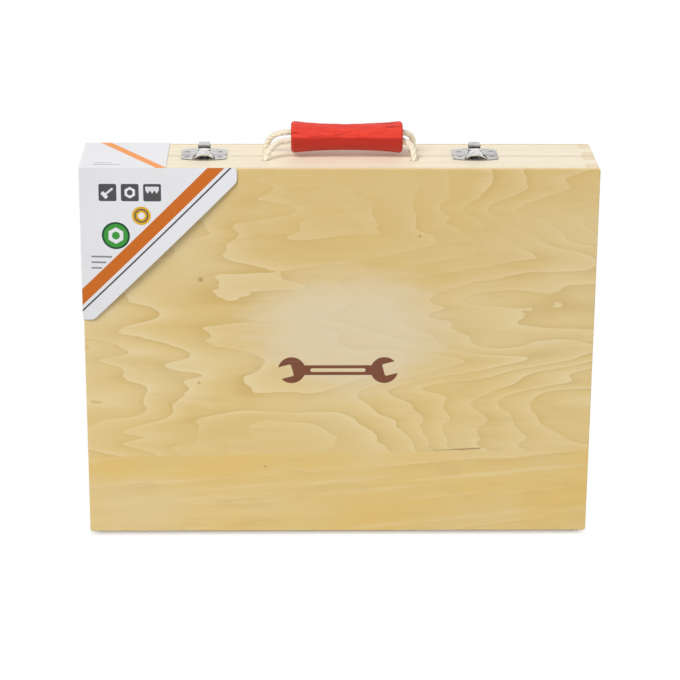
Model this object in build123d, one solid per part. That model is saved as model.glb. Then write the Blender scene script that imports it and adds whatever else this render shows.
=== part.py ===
# A child's flat wooden tool case, standing on its hinge edge. Two equal halves meet at y = 0, the front one
# at -Y. Each is a finger-jointed frame with a plywood panel glued on. Two recessed hinges join them along the
# bottom, two sprung duck-bill latches hold them on top, and a waisted grip hangs on two ropes. A folded card
# sleeve sits on the upper left corner. Millimetres, +Z up, origin at the middle of the bottom.
from build123d import *
import os
from math import radians, sqrt, tan

# Case
case_width = 350.0
case_height = 265.0
case_depth = 65.0
panel_thickness = 3.0
rail_thickness = 9.0
parting_gap = 0.4
corner_radius = 2.0
panel_edge_round = 0.6
finger_count = 3
cut_overrun = 1.0
fit_clearance = 0.05

# Hinges, let into the bottom edge
hinge_offset = 105.0
hinge_length = 30.0
hinge_edge_bevel = 4.5
leaf_reach = 11.0
leaf_thickness = 1.0
knuckle_radius = 2.0
knuckle_count = 3
knuckle_end_gap = 0.3
knuckle_clearance = 0.3
hinge_pin_radius = 1.0
hinge_screw_spacing = 18.0

# Countersunk screws
screw_head_radius = 2.3
screw_head_depth = 1.3
screw_dome_height = 0.35
screw_shank_radius = 1.1
screw_length = 7.0
screw_cross_length = 2.6
screw_cross_width = 0.55
screw_cross_depth = 0.7

# Latches, on the top edge
latch_offset = 92.6
latch_plate_width = 31.0
latch_plate_thickness = 0.7
latch_plate_corner = 2.0
latch_plate_inset = 0.4
latch_screw_spacing = 22.0
catch_shoulder = 13.5
catch_length = 19.0
catch_screw_reach = 8.0
hook_width = 7.6
hook_thickness = 0.8
hook_root_reach = 17.0
hook_heel_reach = 13.2
hook_back_reach = 12.2
hook_lip_reach = 7.0
hook_top_height = 6.6
hook_lip_height = 4.8
hook_bend_radius = 1.0
base_shoulder = 8.6
base_length = 12.4
base_screw_reach = 4.5
ear_thickness = 0.9
ear_gap = 0.3
ear_radius = 1.35
lever_thickness = 0.9
lever_neck_width = 8.6
lever_tip_reach = 8.4
lever_tip_height = 5.9
lever_nose_height = 3.9
lever_neck_reach = 2.0
lever_neck_height = 4.2
lever_crown_reach = 4.0
lever_tip_bend = 0.7
bill_arch_radius = 11.2
bill_arch_height = 5.1
bill_arch_back = 1.0
bill_mouth_height = 3.95
bill_mouth_reach = 10.5
bill_width = 15.4
bill_clearance = 0.95
bill_flare_start = 5.8
bill_flare_end = 8.6
bill_flare_round = 1.2
cheek_thickness = 0.9
cheek_radius = 1.35
cheek_rise = 1.5
latch_pin_radius = 0.7
latch_pin_height = 2.2
latch_pin_head_radius = 1.1
latch_pin_head_thickness = 0.4
spring_thickness = 0.3
spring_width = 4.0
spring_tail_reach = 1.6
spring_foot_reach = 6.6
spring_bend_reach = 5.2
spring_bend_height = 3.15
spring_tip_reach = 2.5
spring_tip_height = 3.45
spring_bend_radius = 0.5

# Ropes and grip
rope_radius = 2.0
rope_hole_offset = 50.5
rope_hole_reach = 11.0
rope_hole_clearance = 0.6
knot_radius = 5.2
knot_height = 9.0
handle_lift = 12.0
knot_stop_gap = 0.3
grip_length = 76.0
grip_end_radius = 11.3
grip_waist_radius = 9.2
grip_end_round = 3.0
grip_bore_radius = 6.3
grip_centre_x = 4.7
grip_centre_y = 1.0
grip_axis_height = 13.2
grip_slot_height = 4.8
grip_slot_rise = 2.6

# Card sleeve on the upper left corner
card_thickness = 0.5
card_gap = 0.15
sleeve_front_width = 115.0
sleeve_front_drop = 114.0
sleeve_latch_gap = 9.3
sleeve_side_drop = 59.0
sleeve_tip_cut = 9.8
sleeve_foot_cut = 7.4
sleeve_tip_radius = 2.2
sleeve_heel_radius = 6.0
sleeve_bow = 3.2

# Routes of the two ropes, from the left end to the right, as x, y and height above the top of the case
front_rope_route = [
    (-50.5, -11.0, -38.6),
    (-50.5, -11.0, 2.6),
    (-45.6, -8.0, 9.8),
    (-38.5, -2.6, 11.6),
    (44.6, -2.6, 11.6),
    (49.4, -7.4, 8.6),
    (50.5, -11.0, 1.0),
    (50.5, -11.0, -38.6),
]
back_rope_route = [
    (-50.5, 11.0, -38.6),
    (-50.5, 11.0, 4.6),
    (-46.4, 8.6, 12.4),
    (-38.8, 4.0, 15.8),
    (44.4, 4.0, 15.8),
    (49.8, 8.0, 12.2),
    (50.5, 11.0, 4.0),
    (50.5, 11.0, -38.6),
]
rope_bend_share = 0.45

# Worked out from the sizes above
half_width = case_width / 2
half_depth = case_depth / 2
rail_near = parting_gap / 2
rail_far = half_depth - panel_thickness
finger_pitch = (rail_far - rail_near) / finger_count
FRONT = -1
BACK = 1
LEFT = -1
RIGHT = 1


def block(x_span, y_span, z_span):
    """A box between the given limits, each pair in either order."""
    spans = [sorted(span) for span in (x_span, y_span, z_span)]
    sizes = [high - low for low, high in spans]
    return Pos(*[low for low, _ in spans]) * Box(*sizes, align=(Align.MIN, Align.MIN, Align.MIN))


def half_block(half, x_span, reach_span, z_span):
    """A box in one half, with its depth measured from the parting plane."""
    return block(x_span, [half * reach for reach in reach_span], z_span)


def bar(radius, x_span, y, z):
    """A round bar along X."""
    length = max(x_span) - min(x_span)
    return Pos((x_span[0] + x_span[1]) / 2, y, z) * Rot(0, 90, 0) * Cylinder(radius, length)


def strip(points, radii, thickness, width):
    """Bent sheet: a path of reach and height, given a thickness, and extruded along X."""
    path = FilletPolyline(*points, radius=radii)
    profile = Plane.YZ * trace(path, line_width=thickness)
    return extrude(profile, amount=width / 2, both=True)


def envelope():
    """The outer block of the closed case, with its long corners eased."""
    outline = Pos(0, case_height / 2) * RectangleRounded(case_width, case_height, corner_radius)
    return extrude(Plane.XZ * outline, amount=half_depth, both=True)


def screw(extra=0, dome=0):
    """A countersunk screw that points down, its head's rim at z = 0. extra widens it into a hole."""
    head = screw_head_radius + extra
    shank = screw_shank_radius + extra
    end = screw_length + extra
    side = Polyline((0, -end), (shank, -end), (shank, -screw_head_depth), (head, 0))
    top = Line((head, 0), (0, 0))
    if dome:
        ball = (head**2 + dome**2) / (2 * dome)
        crown = dome - ball + sqrt(ball**2 - head**2 / 4)
        top = ThreePointArc((head, 0), (head / 2, crown), (0, dome))
    axis = Line((0, dome), (0, -end))
    return revolve(Plane.XZ * make_face(side.edges() + top.edges() + axis.edges()), axis=Axis.Z)


def screw_hole():
    """What a screw's hole takes away."""
    return screw(fit_clearance, screw_dome_height)


def crossed(body):
    """The screw with a cross recess in its head."""
    for size in ((screw_cross_length, screw_cross_width), (screw_cross_width, screw_cross_length)):
        body -= Box(*size, 2 * screw_cross_depth)
    return body


# Frames and panels
def corner_finger(half, end, z_low, index):
    """The block of one finger of a corner joint."""
    near = rail_near + index * finger_pitch
    x_span = (end * half_width, end * (half_width - rail_thickness))
    return half_block(half, x_span, (near, near + finger_pitch), (z_low, z_low + rail_thickness))


def hinge_bevel(half):
    """The bevel along the hinge edge, which lets the halves swing past each other."""
    corner = [(0, 0), (half * hinge_edge_bevel, 0), (0, hinge_edge_bevel), (0, 0)]
    return extrude(Plane.YZ * make_face(Polyline(*corner)), amount=half_width, both=True)


def hinge_pocket(half, x):
    """The recess for one hinge leaf and its knuckles, with the screws' holes."""
    reach = hinge_length / 2 + fit_clearance
    x_span = (x - reach, x + reach)
    pocket = half_block(half, x_span, (0, leaf_reach + fit_clearance), (-cut_overrun, leaf_thickness))
    pocket += bar(knuckle_radius + knuckle_clearance, x_span, 0, knuckle_radius)
    for place in hinge_screw_places(half, x):
        pocket += place * screw_hole()
    return pocket


def top_rail(half):
    """The top rail, with its fingers, the rope's holes and the latch screws' holes."""
    z_low = case_height - rail_thickness
    rail = plain_long_rail(half, z_low)
    for end in (LEFT, RIGHT):
        hole = Cylinder(rope_radius + rope_hole_clearance, rail_thickness + cut_overrun)
        rail -= Pos(end * rope_hole_offset, half * rope_hole_reach, z_low + rail_thickness / 2) * hole
        for place in latch_screw_places(half, end * latch_offset):
            rail -= place * screw_hole()
    return rail


def bottom_rail(half):
    """The bottom rail, with its fingers, the bevel and the two hinge recesses."""
    rail = plain_long_rail(half, 0) - hinge_bevel(half)
    for end in (LEFT, RIGHT):
        rail -= hinge_pocket(half, end * hinge_offset)
    return rail


def plain_long_rail(half, z_low):
    """A rail along X, notched at both ends for the side rails' fingers."""
    rail = half_block(half, (-half_width, half_width), (rail_near, rail_far), (z_low, z_low + rail_thickness))
    for index in range(0, finger_count, 2):
        for end in (LEFT, RIGHT):
            rail -= corner_finger(half, end, z_low, index)
    return rail & envelope()


def side_rail(half, end):
    """An upright rail, notched at both ends for the long rails' fingers."""
    x_span = (end * half_width, end * (half_width - rail_thickness))
    rail = half_block(half, x_span, (rail_near, rail_far), (0, case_height))
    for index in range(1, finger_count, 2):
        for z_low in (0, case_height - rail_thickness):
            rail -= corner_finger(half, end, z_low, index)
    return (rail & envelope()) - hinge_bevel(half)


def panel(half):
    """The plywood panel on the outer face of one half, with its outer edges eased."""
    outline = Pos(0, case_height / 2) * RectangleRounded(case_width, case_height, corner_radius)
    sheet = extrude(Plane.XZ * outline, amount=panel_thickness)
    sheet = Pos(0, half * half_depth + (panel_thickness if half == FRONT else 0), 0) * sheet
    outer = sheet.faces().sort_by(Axis.Y)[0 if half == FRONT else -1]
    return fillet(outer.edges(), panel_edge_round)


# Hinges
def hinge_screw_places(half, x):
    """Where a leaf's screws go in from below."""
    reach = (hinge_edge_bevel + leaf_reach) / 2
    return [
        Pos(x + end * hinge_screw_spacing / 2, half * reach, 0) * Rot(180, 0, 0)
        for end in (LEFT, RIGHT)
    ]


def hinge_leaf(half, x):
    """A leaf with its share of the knuckles: the outer ones in front, the rest behind."""
    start = x - hinge_length / 2
    pitch = hinge_length / knuckle_count
    x_span = (start, start + hinge_length)
    leaf = half_block(half, x_span, (hinge_edge_bevel, leaf_reach), (0, leaf_thickness))
    for index in range(0 if half == FRONT else 1, knuckle_count, 2):
        low = start + index * pitch + knuckle_end_gap / 2
        span = (low, low + pitch - knuckle_end_gap)
        leaf += half_block(half, span, (0, hinge_edge_bevel), (0, leaf_thickness))
        leaf += bar(knuckle_radius, span, 0, knuckle_radius)
    leaf -= bar(hinge_pin_radius + fit_clearance, x_span, 0, knuckle_radius)
    for place in hinge_screw_places(half, x):
        leaf -= place * screw_hole()
    return leaf


def hinge_pin(x):
    """The pin through all knuckles of one hinge."""
    return bar(hinge_pin_radius, (x - hinge_length / 2, x + hinge_length / 2), 0, knuckle_radius)


def hinge_screws(half):
    """All screws of the two leaves on one half, with flat heads."""
    places = [p for end in (LEFT, RIGHT) for p in hinge_screw_places(half, end * hinge_offset)]
    return Compound([place * crossed(screw()) for place in places])


# Latches
def latch_screw_places(half, x):
    """Where a latch plate's screws go in from above."""
    reach = base_screw_reach if half == FRONT else catch_screw_reach
    height = case_height + latch_plate_thickness
    return [Pos(x + end * latch_screw_spacing / 2, half * reach, height) for end in (LEFT, RIGHT)]


def latch_screws(half):
    """All screws of the two latch plates on one half, with domed heads."""
    places = [p for end in (LEFT, RIGHT) for p in latch_screw_places(half, end * latch_offset)]
    return Compound([place * crossed(screw(dome=screw_dome_height)) for place in places])


def latch_plate(half, shoulder, length):
    """A flat plate with round corners and a bowed outer edge, at the latch's own centre."""
    wing = latch_plate_width / 2
    inner = half * latch_plate_inset
    outer = half * shoulder
    sides = Polyline((-wing, outer), (-wing, inner), (wing, inner), (wing, outer))
    bow = ThreePointArc((wing, outer), (0, half * length), (-wing, outer))
    outline = make_face(sides.edges() + bow.edges())
    outline = fillet(outline.vertices(), latch_plate_corner)
    return extrude(outline, amount=latch_plate_thickness, dir=(0, 0, 1))


def on_top(x):
    """The place of a latch at x on the top face."""
    return Pos(x, 0, case_height)


def latch_catch(x):
    """The catch plate with the hook that bends over the lever's nose."""
    middle = latch_plate_thickness / 2
    path = [
        (hook_root_reach, middle),
        (hook_heel_reach, middle),
        (hook_back_reach, hook_top_height),
        (hook_lip_reach, hook_top_height),
        (hook_lip_reach, hook_lip_height),
    ]
    hook = strip(path, [hook_bend_radius] * 3, hook_thickness, hook_width)
    hook &= block((-hook_width, hook_width), (0, catch_length), (0, case_height))
    catch = latch_plate(BACK, catch_shoulder, catch_length) + hook
    catch = on_top(x) * catch
    for place in latch_screw_places(BACK, x):
        catch -= place * screw_hole()
    return catch


def pivot_lug(radius, low, thickness, x):
    """An upright lug with a round top about the latch pin, centred at x."""
    round_top = bar(radius, (x - thickness / 2, x + thickness / 2), -lever_crown_reach, latch_pin_height)
    reach = (lever_crown_reach - radius, lever_crown_reach + radius)
    x_span = (x - thickness / 2, x + thickness / 2)
    return round_top + half_block(FRONT, x_span, reach, (low, latch_pin_height))


def latch_pin_bar(radius, half_length):
    """A bar along the latch's pivot."""
    return bar(radius, (-half_length, half_length), -lever_crown_reach, latch_pin_height)


def ear_centre():
    """How far the base plate's ears stand from the latch's middle."""
    return lever_neck_width / 2 + ear_gap + ear_thickness / 2


def latch_base(x):
    """The base plate with the two ears that hold the lever's pin."""
    base = latch_plate(FRONT, base_shoulder, base_length)
    for end in (LEFT, RIGHT):
        base += pivot_lug(ear_radius, 0, ear_thickness, end * ear_centre())
    base -= latch_pin_bar(latch_pin_radius + fit_clearance, latch_plate_width)
    base = on_top(x) * base
    for place in latch_screw_places(FRONT, x):
        base -= place * screw_hole()
    return base


def latch_pin(x):
    """The lever's pin, with a peened head outside each ear."""
    outer = ear_centre() + ear_thickness / 2
    pin = latch_pin_bar(latch_pin_radius, outer)
    for end in (LEFT, RIGHT):
        head_span = (end * outer, end * (outer + latch_pin_head_thickness))
        pin += bar(latch_pin_head_radius, head_span, -lever_crown_reach, latch_pin_height)
    return on_top(x) * pin


def lever_plan():
    """The lever from above: a straight neck that flares to a bill."""
    neck = lever_neck_width / 2
    bill = bill_width / 2
    plan = make_face(Polyline(
        (-bill, -bill_mouth_reach),
        (-bill, -bill_flare_end),
        (-neck, -bill_flare_start),
        (-neck, bill_arch_back),
        (neck, bill_arch_back),
        (neck, -bill_flare_start),
        (bill, -bill_flare_end),
        (bill, -bill_mouth_reach),
        (-bill, -bill_mouth_reach),
    ))
    flares = plan.vertices().filter_by_position(
        Axis.Y, -bill_flare_end - fit_clearance, -bill_flare_start + fit_clearance
    )
    return extrude(fillet(flares, bill_flare_round), amount=case_depth, both=True)


def duck_bill():
    """The arched front of the lever, open like a duck's bill and sloping down to its mouth."""
    slope = (bill_arch_height - bill_mouth_height) / bill_mouth_reach
    centre = bill_arch_height - bill_arch_radius
    back = Vector(0, case_depth, centre + case_depth * slope)
    section = Circle(bill_arch_radius) - Circle(bill_arch_radius - lever_thickness)
    arch = extrude(Plane(back, x_dir=(1, 0, 0), z_dir=(0, -1, -slope)) * section, amount=2 * case_depth)
    above = block((-case_depth, case_depth), (-case_depth, case_depth), (bill_clearance, case_depth))
    return arch & lever_plan() & above


def latch_lever(x):
    """The lever: a nose that turns up behind the hook, cheeks on the pin and a bill to lift."""
    path = [
        (lever_tip_reach, lever_tip_height),
        (lever_tip_reach, lever_nose_height),
        (-lever_neck_reach, lever_neck_height),
    ]
    sheet = strip(path, [lever_tip_bend], lever_thickness, lever_neck_width) + duck_bill()
    for end in (LEFT, RIGHT):
        centre = end * (lever_neck_width - cheek_thickness) / 2
        x_span = (centre - cheek_thickness / 2, centre + cheek_thickness / 2)
        reach = (lever_crown_reach - cheek_radius, lever_crown_reach + cheek_radius)
        sheet += bar(cheek_radius, x_span, -lever_crown_reach, latch_pin_height)
        sheet += half_block(FRONT, x_span, reach, (latch_pin_height, latch_pin_height + cheek_rise))
    sheet -= latch_pin_bar(latch_pin_radius + fit_clearance, latch_plate_width)
    return on_top(x) * sheet


def latch_spring(x):
    """A leaf spring that wraps round the pin: its foot on the base plate, its tip under the nose."""
    foot = latch_plate_thickness + spring_thickness / 2
    path = [
        (-spring_tail_reach, foot),
        (-spring_foot_reach, foot),
        (-spring_bend_reach, spring_bend_height),
        (spring_tip_reach, spring_tip_height),
    ]
    return on_top(x) * strip(path, [spring_bend_radius] * 2, spring_thickness, spring_width)


# Ropes and grip
def rope(name, route):
    """A rope along its route, with a stopper knot near each end inside the case."""
    points = [Vector(*point) for point in route]
    radii = []
    for before, corner, after in zip(points, points[1:], points[2:]):
        turn = (corner - before).get_angle(after - corner)
        shorter = min((corner - before).length, (after - corner).length)
        radii.append(rope_bend_share * shorter / tan(radians(turn) / 2))
    path = FilletPolyline(*points, radius=radii)
    section = Plane(path @ 0, z_dir=path % 0) * Circle(rope_radius)
    tube = sweep(section, path)
    share = tube.volume / (section.area * path.length)
    print(name, "radii", [round(r, 1) for r in radii], "length", round(path.length, 1))
    print(name, "volume over section times length", round(share, 4))
    for end in (points[0], points[-1]):
        tube += Pos(end.X, end.Y, -rail_thickness - handle_lift - knot_stop_gap) * knot()
    return Pos(0, 0, case_height) * tube


def knot():
    """A stopper knot, drawn tight into a ball with flat ends, whose top is at z = 0."""
    return Pos(0, 0, -knot_height / 2) * (Sphere(knot_radius) & Cylinder(knot_radius, knot_height))


def grip():
    """The turned grip: waisted, bored for both ropes, and slotted behind so that one rope can slip out."""
    end = grip_length / 2
    waist = ThreePointArc((-end, grip_end_radius), (0, grip_waist_radius), (end, grip_end_radius))
    core = Polyline((end, grip_end_radius), (end, 0), (-end, 0), (-end, grip_end_radius))
    profile = make_face(waist.edges() + core.edges())
    rims = profile.vertices().group_by(Axis.Y)[-1]
    body = revolve(fillet(rims, grip_end_round), axis=Axis.X)
    body -= bar(grip_bore_radius, (-grip_length, grip_length), 0, 0)
    slot_low = grip_slot_rise - grip_slot_height / 2
    slot_z = (slot_low, slot_low + grip_slot_height)
    body -= block((-grip_length, grip_length), (0, grip_end_radius + cut_overrun), slot_z)
    return Pos(grip_centre_x, grip_centre_y, case_height + grip_axis_height) * body


# Card sleeve
def corner_sleeve():
    """Folded card: a front triangle that bows off the panel, a top flap and a side flap."""
    inner_x = half_width + card_gap
    inner_y = half_depth + card_gap
    inner_z = case_height + card_gap
    outer_x = inner_x + card_thickness
    outer_y = inner_y + card_thickness
    outer_z = inner_z + card_thickness
    far_x = sleeve_front_width - half_width
    far_z = case_height - sleeve_front_drop
    tip_x = far_x - sleeve_tip_cut
    foot_z = far_z + sleeve_foot_cut
    slope = (outer_z - far_z) / (far_x + outer_x)
    fold_middle = ((tip_x - outer_x) / 2, outer_z)
    cut_edge = FilletPolyline(
        (-outer_x, outer_z),
        (-outer_x, foot_z),
        (sleeve_foot_cut / slope - outer_x, foot_z),
        (tip_x, outer_z - sleeve_tip_cut * slope),
        (tip_x, outer_z),
        fold_middle,
        radius=[sleeve_tip_radius, sleeve_heel_radius, sleeve_heel_radius, sleeve_tip_radius],
    )
    fold = Line(fold_middle, (-outer_x, outer_z))
    front = extrude(Plane.XZ * make_face(cut_edge.edges() + fold.edges()), amount=case_depth)
    lift = 4 * sleeve_bow
    bowed = Face.make_bezier_surface([
        [(-outer_x, -inner_y, outer_z), (far_x, -inner_y, outer_z)],
        [(-outer_x, -inner_y, far_z), (far_x, -inner_y - lift, far_z)],
    ])
    sleeve = extrude(bowed, amount=card_thickness, dir=(0, -1, 0)) & front
    y_span = (-outer_y, half_depth)
    flap_end = -latch_offset - latch_plate_width / 2 - sleeve_latch_gap
    sleeve += block((-outer_x, flap_end), y_span, (inner_z, outer_z))
    sleeve += block((-outer_x, -inner_x), y_span, (case_height - sleeve_side_drop, outer_z))
    return sleeve


def all_parts():
    """Every piece of the case, by the name of its node."""
    parts = {"grip": grip(), "corner_sleeve": corner_sleeve()}
    parts["front_rope"] = rope("front_rope", front_rope_route)
    parts["back_rope"] = rope("back_rope", back_rope_route)
    parts["latch_base_screws"] = latch_screws(FRONT)
    parts["latch_catch_screws"] = latch_screws(BACK)
    for name, half in (("front", FRONT), ("back", BACK)):
        parts[name + "_panel"] = panel(half)
        parts[name + "_top_rail"] = top_rail(half)
        parts[name + "_bottom_rail"] = bottom_rail(half)
        parts[name + "_hinge_screws"] = hinge_screws(half)
        for side, end in (("left", LEFT), ("right", RIGHT)):
            parts[name + "_" + side + "_rail"] = side_rail(half, end)
            parts[side + "_hinge_" + name + "_leaf"] = hinge_leaf(half, end * hinge_offset)
    for side, end in (("left", LEFT), ("right", RIGHT)):
        parts[side + "_hinge_pin"] = hinge_pin(end * hinge_offset)
        x = end * latch_offset
        parts[side + "_latch_base"] = latch_base(x)
        parts[side + "_latch_lever"] = latch_lever(x)
        parts[side + "_latch_pin"] = latch_pin(x)
        parts[side + "_latch_spring"] = latch_spring(x)
        parts[side + "_latch_catch"] = latch_catch(x)
    return parts


os.makedirs("parts", exist_ok=True)
for node, shape in all_parts().items():
    export_step(shape, "parts/" + node + ".step")
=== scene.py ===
# %% [markdown]
# A child's wooden tool case, dressed for its portrait. The solids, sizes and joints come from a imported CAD
# model, which is loaded first and never moved. Blender adds what a solid lacks: grain, print, lay and light.
# Everything is in metres, in the frame of the CAD model: +X right, +Y to the back, +Z up.

# %% Load the frame
import math
import bpy
import bmesh
from mathutils import Matrix, Vector, noise


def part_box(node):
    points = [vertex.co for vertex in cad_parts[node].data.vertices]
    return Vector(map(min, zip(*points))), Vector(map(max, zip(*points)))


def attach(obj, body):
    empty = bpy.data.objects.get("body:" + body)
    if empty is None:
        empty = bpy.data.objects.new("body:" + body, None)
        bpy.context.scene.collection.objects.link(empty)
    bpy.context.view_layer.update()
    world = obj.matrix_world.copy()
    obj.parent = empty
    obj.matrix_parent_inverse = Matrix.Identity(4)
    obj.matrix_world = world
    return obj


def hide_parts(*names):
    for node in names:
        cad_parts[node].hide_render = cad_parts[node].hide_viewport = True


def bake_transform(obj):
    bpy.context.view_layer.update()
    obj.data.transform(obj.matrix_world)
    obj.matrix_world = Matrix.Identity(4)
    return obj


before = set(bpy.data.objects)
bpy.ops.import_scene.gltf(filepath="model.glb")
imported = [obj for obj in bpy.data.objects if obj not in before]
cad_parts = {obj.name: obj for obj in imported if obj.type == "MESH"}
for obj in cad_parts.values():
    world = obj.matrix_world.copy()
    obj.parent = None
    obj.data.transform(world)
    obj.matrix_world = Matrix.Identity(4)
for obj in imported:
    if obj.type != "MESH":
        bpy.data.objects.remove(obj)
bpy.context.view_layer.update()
MM = 0.001
case_low, case_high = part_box("front_panel")
case_top = case_high.z
front_face = case_low.y
print("loaded", len(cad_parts), "nodes; the case is", round(case_high.x - case_low.x, 3), "m wide")

# %% [markdown]
# The camera stands where the photographer's did. Its place, turn and lens were found by matching the corners of
# the case in the picture with the corners of a block of the same size. A long lens keeps the sides nearly upright.

# %% Camera
camera_lens_mm = 128.5
camera_place = Vector((-0.0360, -1.6060, 0.6995))
camera_pitch, camera_yaw, camera_roll = (math.radians(a) for a in (19.47, 1.32, 0.38))

forward = Vector((
    math.sin(camera_yaw) * math.cos(camera_pitch),
    math.cos(camera_yaw) * math.cos(camera_pitch),
    -math.sin(camera_pitch),
))
level_right = Vector((math.cos(camera_yaw), -math.sin(camera_yaw), 0))
level_up = level_right.cross(forward)
right = level_right * math.cos(camera_roll) + level_up * math.sin(camera_roll)
up = level_up * math.cos(camera_roll) - level_right * math.sin(camera_roll)

camera = bpy.data.objects.new("camera", bpy.data.cameras.new("camera"))
camera.data.lens = camera_lens_mm
camera.data.clip_start = 0.05
camera.matrix_world = Matrix.Translation(camera_place) @ Matrix((right, up, -forward)).transposed().to_4x4()
scene = bpy.context.scene
scene.collection.objects.link(camera)
scene.camera = camera
scene.view_settings.view_transform = "Standard"
print("camera", [round(v, 3) for v in camera_place], "looks along", [round(v, 3) for v in forward])

# %% [markdown]
# Every finish below is made of nodes. Wiring them by hand hides the idea behind a lot of typing, so one small
# class wraps a socket and turns Python's operators into Math nodes: `1 - mask` adds a Subtract node. For masks,
# `a | b` is "either" (the larger) and `a & b` is "both" (the smaller). A second class is the material itself.

# %% Sockets as numbers
class Wire:
    """An output socket. Operators on it add Math nodes to its tree."""

    def __init__(self, tree, socket):
        self.tree = tree
        self.socket = socket

    def maths(self, operation, first, second=0.0):
        return self.tree.node("ShaderNodeMath", {"operation": operation}, {0: first, 1: second})

    def __add__(self, other):
        return self.maths("ADD", self, other)

    def __sub__(self, other):
        return self.maths("SUBTRACT", self, other)

    def __rsub__(self, other):
        return self.maths("SUBTRACT", other, self)

    def __mul__(self, other):
        return self.maths("MULTIPLY", self, other)

    def __truediv__(self, other):
        return self.maths("DIVIDE", self, other)

    def __or__(self, other):
        return self.maths("MAXIMUM", self, other)

    def __and__(self, other):
        return self.maths("MINIMUM", self, other)

    def __pow__(self, other):
        return self.maths("POWER", self, other)

    def __abs__(self):
        return self.maths("ABSOLUTE", self)

    __radd__ = __add__
    __rmul__ = __mul__

    def part(self):
        """What is left of a number above its whole part: a saw's teeth."""
        return self.maths("FRACT", self)


class Tree:
    """A node tree under construction. node() adds any node; the rest are short names for common ones."""

    def __init__(self, tree):
        self.tree = tree
        self.tree.nodes.clear()

    def node(self, kind, settings=None, sockets=None, output=0):
        made = self.tree.nodes.new(kind)
        for key, value in (settings or {}).items():
            if key == "stops":
                while len(made.color_ramp.elements) > 1:
                    made.color_ramp.elements.remove(made.color_ramp.elements[-1])
                made.color_ramp.elements[0].position, made.color_ramp.elements[0].color = value[0]
                for position, colour in value[1:]:
                    made.color_ramp.elements.new(position).color = colour
            else:
                setattr(made, key, value)
        for key, value in (sockets or {}).items():
            if isinstance(value, Wire):
                self.tree.links.new(value.socket, made.inputs[key])
            else:
                made.inputs[key].default_value = value
        return Wire(self, made.outputs[output])

    def place(self):
        return self.node("ShaderNodeTexCoord", output="Object")

    def facing(self):
        """The surface's own outward direction, as three numbers."""
        return self.split(self.node("ShaderNodeTexCoord", output="Normal"))

    def split(self, vector):
        return [self.node("ShaderNodeSeparateXYZ", None, {0: vector}, axis) for axis in "XYZ"]

    def join(self, x, y, z):
        return self.node("ShaderNodeCombineXYZ", None, {0: x, 1: y, 2: z})

    def scaled(self, vector, factors):
        return self.node("ShaderNodeVectorMath", {"operation": "MULTIPLY"}, {0: vector, 1: factors})

    def cloud(self, vector, scale=1.0, detail=2.0, roughness=0.5, distortion=0.0):
        """Smooth noise from 0 to 1."""
        sockets = {"Vector": vector, "Scale": scale, "Detail": detail, "Roughness": roughness}
        return self.node("ShaderNodeTexNoise", None, {**sockets, "Distortion": distortion})

    def rise(self, value, low, high):
        """0 below low, 1 above high, and a smooth rise between; low may be the larger."""
        sockets = {"Value": value, "From Min": low, "From Max": high}
        return self.node("ShaderNodeMapRange", {"interpolation_type": "SMOOTHSTEP"}, sockets)

    def mix(self, amount, first, second):
        return self.node("ShaderNodeMix", {"data_type": "RGBA"}, {0: amount, 6: first, 7: second}, 2)

    def ramp(self, value, stops):
        return self.node("ShaderNodeValToRGB", {"stops": stops}, {0: value})

    def bump(self, height, distance, strength=1.0):
        sockets = {"Height": height, "Distance": distance, "Strength": strength}
        return self.node("ShaderNodeBump", None, sockets)


class Finish(Tree):
    """A material that ends in one Principled shader."""

    def __init__(self, name):
        self.material = bpy.data.materials.new(name)
        self.material.use_nodes = True
        super().__init__(self.material.node_tree)

    def done(self, **sockets):
        named = {key.replace("_", " "): value for key, value in sockets.items()}
        return self.end(self.node("ShaderNodeBsdfPrincipled", None, named))

    def end(self, shader):
        output = self.tree.nodes.new("ShaderNodeOutputMaterial")
        self.tree.links.new(shader.socket, output.inputs[0])
        return self.material


def paint(red, green, blue):
    """A colour as a picture program gives it, from 0 to 255, turned into the light that Blender counts in."""
    def light(value):
        value /= 255
        return value / 12.92 if value <= 0.04045 else ((value + 0.055) / 1.055) ** 2.4
    return (light(red), light(green), light(blue), 1.0)


print("a mid grey of 128 is", round(paint(128, 128, 128)[0], 3), "in light")

# %% [markdown]
# The handle hangs on two ropes. Each goes down through a hole in its own rail and ends in a knot inside the case.
# A rope could be one bent tube, but a laid rope shows its three strands, and each strand shows its yarns. So the
# route is one smooth spline, points are read from it, and three thin tubes wind around those points.

# %% Rope routes
rope_radius = 2.0 * MM
rope_step = 0.5 * MM
hole_x, hole_y = 50.5, 11.0
front_route = [
    (-hole_x, -hole_y, -38.6), (-hole_x, -hole_y, -6.6), (-hole_x, -hole_y, 2.6), (-45.6, -8.0, 9.8),
    (-38.5, -2.6, 11.6), (-29.4, -2.6, 11.6), (37.2, -2.6, 11.6), (44.6, -2.6, 11.6), (49.4, -7.4, 8.6),
    (hole_x, -hole_y, 1.0), (hole_x, -hole_y, -7.5), (hole_x, -hole_y, -38.6),
]
back_route = [
    (-hole_x, hole_y, -38.6), (-hole_x, hole_y, -4.5), (-hole_x, hole_y, 4.6), (-46.4, 8.6, 12.4),
    (-38.8, 4.0, 15.8), (-29.3, 4.0, 15.8), (36.8, 4.0, 15.8), (44.4, 4.0, 15.8), (49.8, 8.0, 12.2),
    (hole_x, hole_y, 4.0), (hole_x, hole_y, -4.8), (hole_x, hole_y, -38.6),
]


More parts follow.
